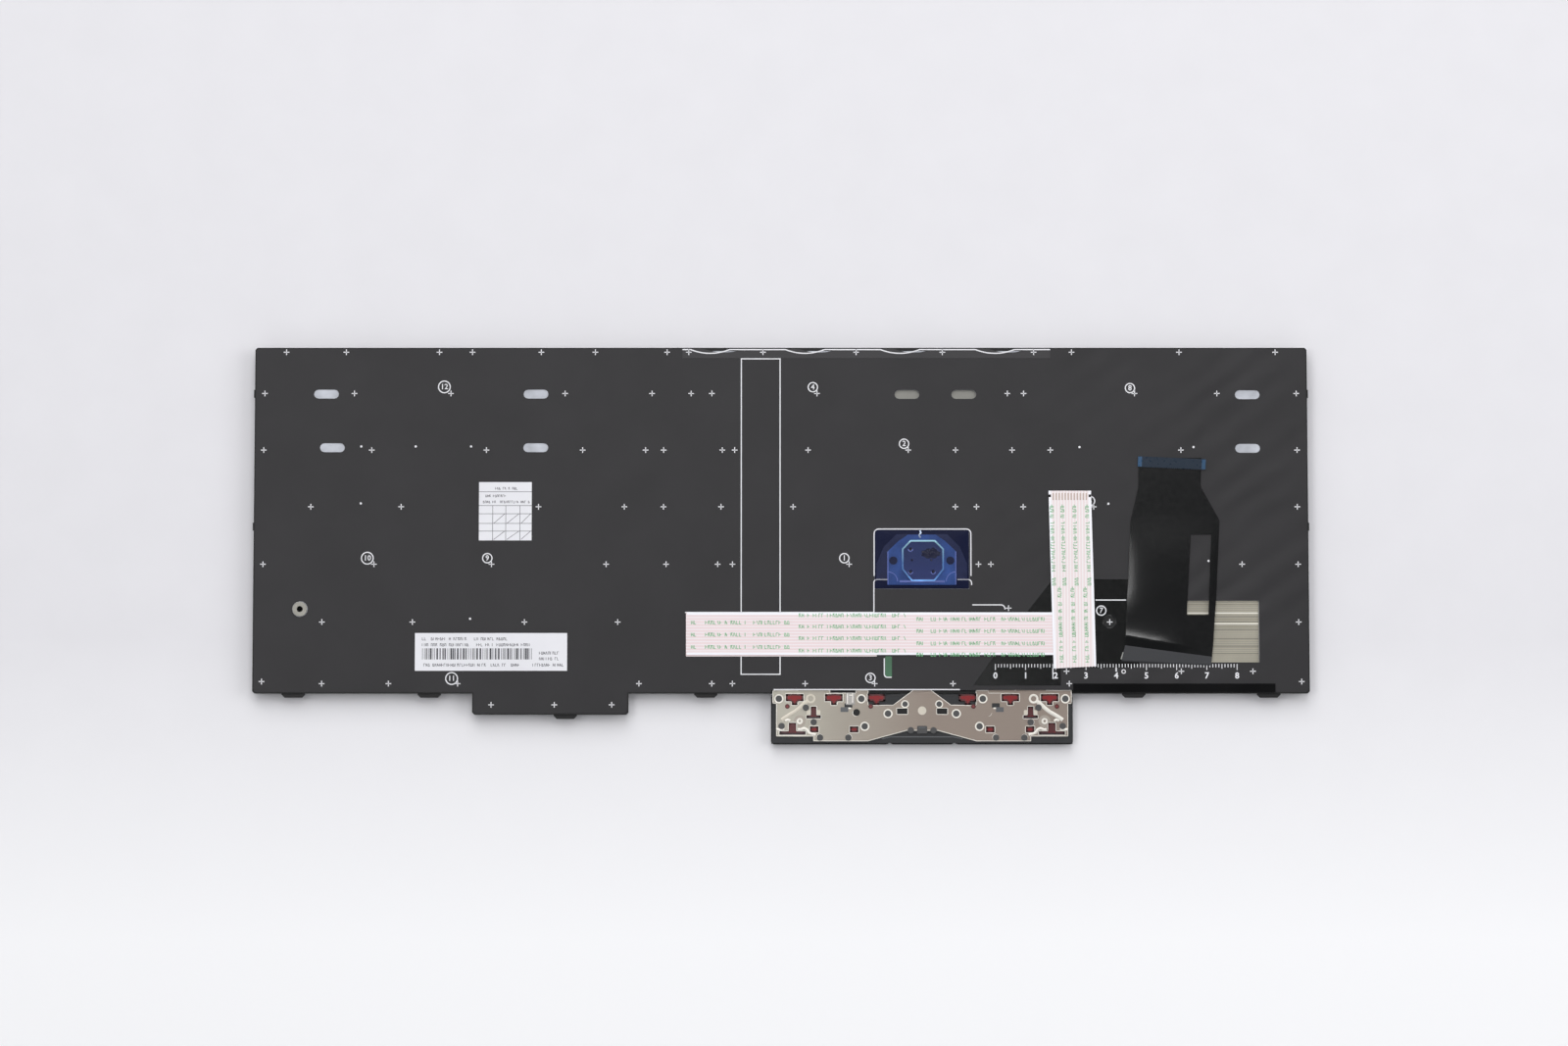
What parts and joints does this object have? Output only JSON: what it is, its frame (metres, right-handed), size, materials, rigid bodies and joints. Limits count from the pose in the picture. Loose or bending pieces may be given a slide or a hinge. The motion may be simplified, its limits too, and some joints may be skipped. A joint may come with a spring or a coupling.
{
  "type": "laptop keyboard",
  "caption": "Full-size laptop keyboard module lying keys down: printed rear film, steel plate, flat cables, pointing stick, travelling keys and a bracket with pointer buttons.",
  "frame": {"origin": "under the middle of the whole outline, on the plane of the key tops", "axes": "+X towards the Esc edge, +Y towards the function row, +Z out of the rear face"},
  "size_m": [0.3508, 0.1318, 0.0061],
  "materials": {
    "black_plastic": "fine moulded grain",
    "key_plastic": "fine matt grain",
    "plate_steel": "bare zinc-plated sheet",
    "rear_film": "dark grey printed film, satin",
    "membrane": "printed film with silver traces",
    "dome_rubber": "translucent silicone",
    "link_plastic": "natural moulded plastic",
    "clear_tape": "thin tape with a white edge",
    "boss_steel": "plated steel",
    "label_paper": "white label stock",
    "black_flex": "glossy black film",
    "stiffener_blue": "blue film",
    "white_cable": "white ribbon",
    "gloss_film": "glossy black film",
    "foam": "closed-cell foam",
    "carrier_steel": "stamped sheet",
    "sensor_ceramic": "ceramic substrate",
    "rivet_steel": "dark rivet head",
    "stick_rubber": "textured soft rubber",
    "blue_film": "clear blue film",
    "bracket_steel": "stamped sheet, satin",
    "red_plastic": "red moulded plastic"
  },
  "bodies": {
    "chassis": {"bezel": "black_plastic", "base_plate": "plate_steel", "rear_film": "rear_film", "membrane": "membrane", "rubber_domes": "dome_rubber", "scissor_links": "link_plastic", "letter_keys": "key_plastic", "numpad_keys": "key_plastic", "function_keys": "key_plastic", "edge_tape": "clear_tape", "screw_boss": "boss_steel", "label_small": "label_paper", "label_long": "label_paper", "keyboard_flex": "black_flex", "flex_stiffener": "stiffener_blue", "ffc_cable": "white_cable", "tail_cover_film": "gloss_film", "foam_strip": "foam", "stick_carrier": "carrier_steel", "stick_sensor": "sensor_ceramic", "stick_rivets": "rivet_steel", "stick_post": "carrier_steel", "stick_cap": "stick_rubber", "stick_film": "blue_film", "button_bracket": "bracket_steel", "button_frame": "black_plastic", "button_switch_board": "membrane"},
    "key_backquote": {"key_backquote": "key_plastic"},
    "key_backspace": {"key_backspace": "key_plastic"},
    "key_tab": {"key_tab": "key_plastic"},
    "key_backslash": {"key_backslash": "key_plastic"},
    "key_caps_lock": {"key_caps_lock": "key_plastic"},
    "key_enter": {"key_enter": "key_plastic"},
    "key_left_shift": {"key_left_shift": "key_plastic"},
    "key_right_shift": {"key_right_shift": "key_plastic"},
    "key_fn": {"key_fn": "key_plastic"},
    "key_left_ctrl": {"key_left_ctrl": "key_plastic"},
    "key_system": {"key_system": "key_plastic"},
    "key_left_alt": {"key_left_alt": "key_plastic"},
    "key_space": {"key_space": "key_plastic"},
    "key_right_alt": {"key_right_alt": "key_plastic"},
    "key_print_screen": {"key_print_screen": "key_plastic"},
    "key_right_ctrl": {"key_right_ctrl": "key_plastic"},
    "key_page_up": {"key_page_up": "key_plastic"},
    "key_up": {"key_up": "key_plastic"},
    "key_page_down": {"key_page_down": "key_plastic"},
    "key_left": {"key_left": "key_plastic"},
    "key_down": {"key_down": "key_plastic"},
    "key_right": {"key_right": "key_plastic"},
    "key_num_plus": {"key_num_plus": "key_plastic"},
    "key_num_enter": {"key_num_enter": "key_plastic"},
    "key_num_zero": {"key_num_zero": "key_plastic"},
    "key_g": {"key_g": "key_plastic"},
    "key_h": {"key_h": "key_plastic"},
    "key_b": {"key_b": "key_plastic"},
    "left_button": {"left_button": "black_plastic", "left_button_insert": "red_plastic"},
    "middle_button": {"middle_button": "black_plastic"},
    "right_button": {"right_button": "black_plastic", "right_button_insert": "red_plastic"}
  },
  "joints": [
    {"name": "key_backquote_press", "type": "slide", "parent": "chassis", "child": "key_backquote", "axis": [0, 0, 1], "range_m": [0, 0.0018], "stiffness_N_per_m": 200, "springref_m": -0.001, "deforming": ["scissor_links", "rubber_domes"]},
    {"name": "key_backspace_press", "type": "slide", "parent": "chassis", "child": "key_backspace", "axis": [0, 0, 1], "range_m": [0, 0.0018], "stiffness_N_per_m": 200, "springref_m": -0.001, "deforming": ["scissor_links", "rubber_domes"]},
    {"name": "key_tab_press", "type": "slide", "parent": "chassis", "child": "key_tab", "axis": [0, 0, 1], "range_m": [0, 0.0018], "stiffness_N_per_m": 200, "springref_m": -0.001, "deforming": ["scissor_links", "rubber_domes"]},
    {"name": "key_backslash_press", "type": "slide", "parent": "chassis", "child": "key_backslash", "axis": [0, 0, 1], "range_m": [0, 0.0018], "stiffness_N_per_m": 200, "springref_m": -0.001, "deforming": ["scissor_links", "rubber_domes"]},
    {"name": "key_caps_lock_press", "type": "slide", "parent": "chassis", "child": "key_caps_lock", "axis": [0, 0, 1], "range_m": [0, 0.0018], "stiffness_N_per_m": 200, "springref_m": -0.001, "deforming": ["scissor_links", "rubber_domes"]},
    {"name": "key_enter_press", "type": "slide", "parent": "chassis", "child": "key_enter", "axis": [0, 0, 1], "range_m": [0, 0.0018], "stiffness_N_per_m": 200, "springref_m": -0.001, "deforming": ["scissor_links", "rubber_domes"]},
    {"name": "key_left_shift_press", "type": "slide", "parent": "chassis", "child": "key_left_shift", "axis": [0, 0, 1], "range_m": [0, 0.0018], "stiffness_N_per_m": 200, "springref_m": -0.001, "deforming": ["scissor_links", "rubber_domes"]},
    {"name": "key_right_shift_press", "type": "slide", "parent": "chassis", "child": "key_right_shift", "axis": [0, 0, 1], "range_m": [0, 0.0018], "stiffness_N_per_m": 200, "springref_m": -0.001, "deforming": ["scissor_links", "rubber_domes"]},
    {"name": "key_fn_press", "type": "slide", "parent": "chassis", "child": "key_fn", "axis": [0, 0, 1], "range_m": [0, 0.0018], "stiffness_N_per_m": 200, "springref_m": -0.001, "deforming": ["scissor_links", "rubber_domes"]},
    {"name": "key_left_ctrl_press", "type": "slide", "parent": "chassis", "child": "key_left_ctrl", "axis": [0, 0, 1], "range_m": [0, 0.0018], "stiffness_N_per_m": 200, "springref_m": -0.001, "deforming": ["scissor_links", "rubber_domes"]},
    {"name": "key_system_press", "type": "slide", "parent": "chassis", "child": "key_system", "axis": [0, 0, 1], "range_m": [0, 0.0018], "stiffness_N_per_m": 200, "springref_m": -0.001, "deforming": ["scissor_links", "rubber_domes"]},
    {"name": "key_left_alt_press", "type": "slide", "parent": "chassis", "child": "key_left_alt", "axis": [0, 0, 1], "range_m": [0, 0.0018], "stiffness_N_per_m": 200, "springref_m": -0.001, "deforming": ["scissor_links", "rubber_domes"]},
    {"name": "key_space_press", "type": "slide", "parent": "chassis", "child": "key_space", "axis": [0, 0, 1], "range_m": [0, 0.0018], "stiffness_N_per_m": 200, "springref_m": -0.001, "deforming": ["scissor_links", "rubber_domes"]},
    {"name": "key_right_alt_press", "type": "slide", "parent": "chassis", "child": "key_right_alt", "axis": [0, 0, 1], "range_m": [0, 0.0018], "stiffness_N_per_m": 200, "springref_m": -0.001, "deforming": ["scissor_links", "rubber_domes"]},
    {"name": "key_print_screen_press", "type": "slide", "parent": "chassis", "child": "key_print_screen", "axis": [0, 0, 1], "range_m": [0, 0.0018], "stiffness_N_per_m": 200, "springref_m": -0.001, "deforming": ["scissor_links", "rubber_domes"]},
    {"name": "key_right_ctrl_press", "type": "slide", "parent": "chassis", "child": "key_right_ctrl", "axis": [0, 0, 1], "range_m": [0, 0.0018], "stiffness_N_per_m": 200, "springref_m": -0.001, "deforming": ["scissor_links", "rubber_domes"]},
    {"name": "key_page_up_press", "type": "slide", "parent": "chassis", "child": "key_page_up", "axis": [0, 0, 1], "range_m": [0, 0.0018], "stiffness_N_per_m": 200, "springref_m": -0.001, "deforming": ["scissor_links", "rubber_domes"]},
    {"name": "key_up_press", "type": "slide", "parent": "chassis", "child": "key_up", "axis": [0, 0, 1], "range_m": [0, 0.0018], "stiffness_N_per_m": 200, "springref_m": -0.001, "deforming": ["scissor_links", "rubber_domes"]},
    {"name": "key_page_down_press", "type": "slide", "parent": "chassis", "child": "key_page_down", "axis": [0, 0, 1], "range_m": [0, 0.0018], "stiffness_N_per_m": 200, "springref_m": -0.001, "deforming": ["scissor_links", "rubber_domes"]},
    {"name": "key_left_press", "type": "slide", "parent": "chassis", "child": "key_left", "axis": [0, 0, 1], "range_m": [0, 0.0018], "stiffness_N_per_m": 200, "springref_m": -0.001, "deforming": ["scissor_links", "rubber_domes"]},
    {"name": "key_down_press", "type": "slide", "parent": "chassis", "child": "key_down", "axis": [0, 0, 1], "range_m": [0, 0.0018], "stiffness_N_per_m": 200, "springref_m": -0.001, "deforming": ["scissor_links", "rubber_domes"]},
    {"name": "key_right_press", "type": "slide", "parent": "chassis", "child": "key_right", "axis": [0, 0, 1], "range_m": [0, 0.0018], "stiffness_N_per_m": 200, "springref_m": -0.001, "deforming": ["scissor_links", "rubber_domes"]},
    {"name": "key_num_plus_press", "type": "slide", "parent": "chassis", "child": "key_num_plus", "axis": [0, 0, 1], "range_m": [0, 0.0018], "stiffness_N_per_m": 200, "springref_m": -0.001, "deforming": ["scissor_links", "rubber_domes"]},
    {"name": "key_num_enter_press", "type": "slide", "parent": "chassis", "child": "key_num_enter", "axis": [0, 0, 1], "range_m": [0, 0.0018], "stiffness_N_per_m": 200, "springref_m": -0.001, "deforming": ["scissor_links", "rubber_domes"]},
    {"name": "key_num_zero_press", "type": "slide", "parent": "chassis", "child": "key_num_zero", "axis": [0, 0, 1], "range_m": [0, 0.0018], "stiffness_N_per_m": 200, "springref_m": -0.001, "deforming": ["scissor_links", "rubber_domes"]},
    {"name": "key_g_press", "type": "slide", "parent": "chassis", "child": "key_g", "axis": [0, 0, 1], "range_m": [0, 0.0018], "stiffness_N_per_m": 200, "springref_m": -0.001, "deforming": ["scissor_links", "rubber_domes"]},
    {"name": "key_h_press", "type": "slide", "parent": "chassis", "child": "key_h", "axis": [0, 0, 1], "range_m": [0, 0.0018], "stiffness_N_per_m": 200, "springref_m": -0.001, "deforming": ["scissor_links", "rubber_domes"]},
    {"name": "key_b_press", "type": "slide", "parent": "chassis", "child": "key_b", "axis": [0, 0, 1], "range_m": [0, 0.0018], "stiffness_N_per_m": 200, "springref_m": -0.001, "deforming": ["scissor_links", "rubber_domes"]},
    {"name": "left_button_press", "type": "slide", "parent": "chassis", "child": "left_button", "axis": [0, 0, 1], "range_m": [0, 0.0007], "stiffness_N_per_m": 600, "springref_m": -0.0007},
    {"name": "middle_button_press", "type": "slide", "parent": "chassis", "child": "middle_button", "axis": [0, 0, 1], "range_m": [0, 0.0007], "stiffness_N_per_m": 600, "springref_m": -0.0007},
    {"name": "right_button_press", "type": "slide", "parent": "chassis", "child": "right_button", "axis": [0, 0, 1], "range_m": [0, 0.0007], "stiffness_N_per_m": 600, "springref_m": -0.0007}
  ]
}
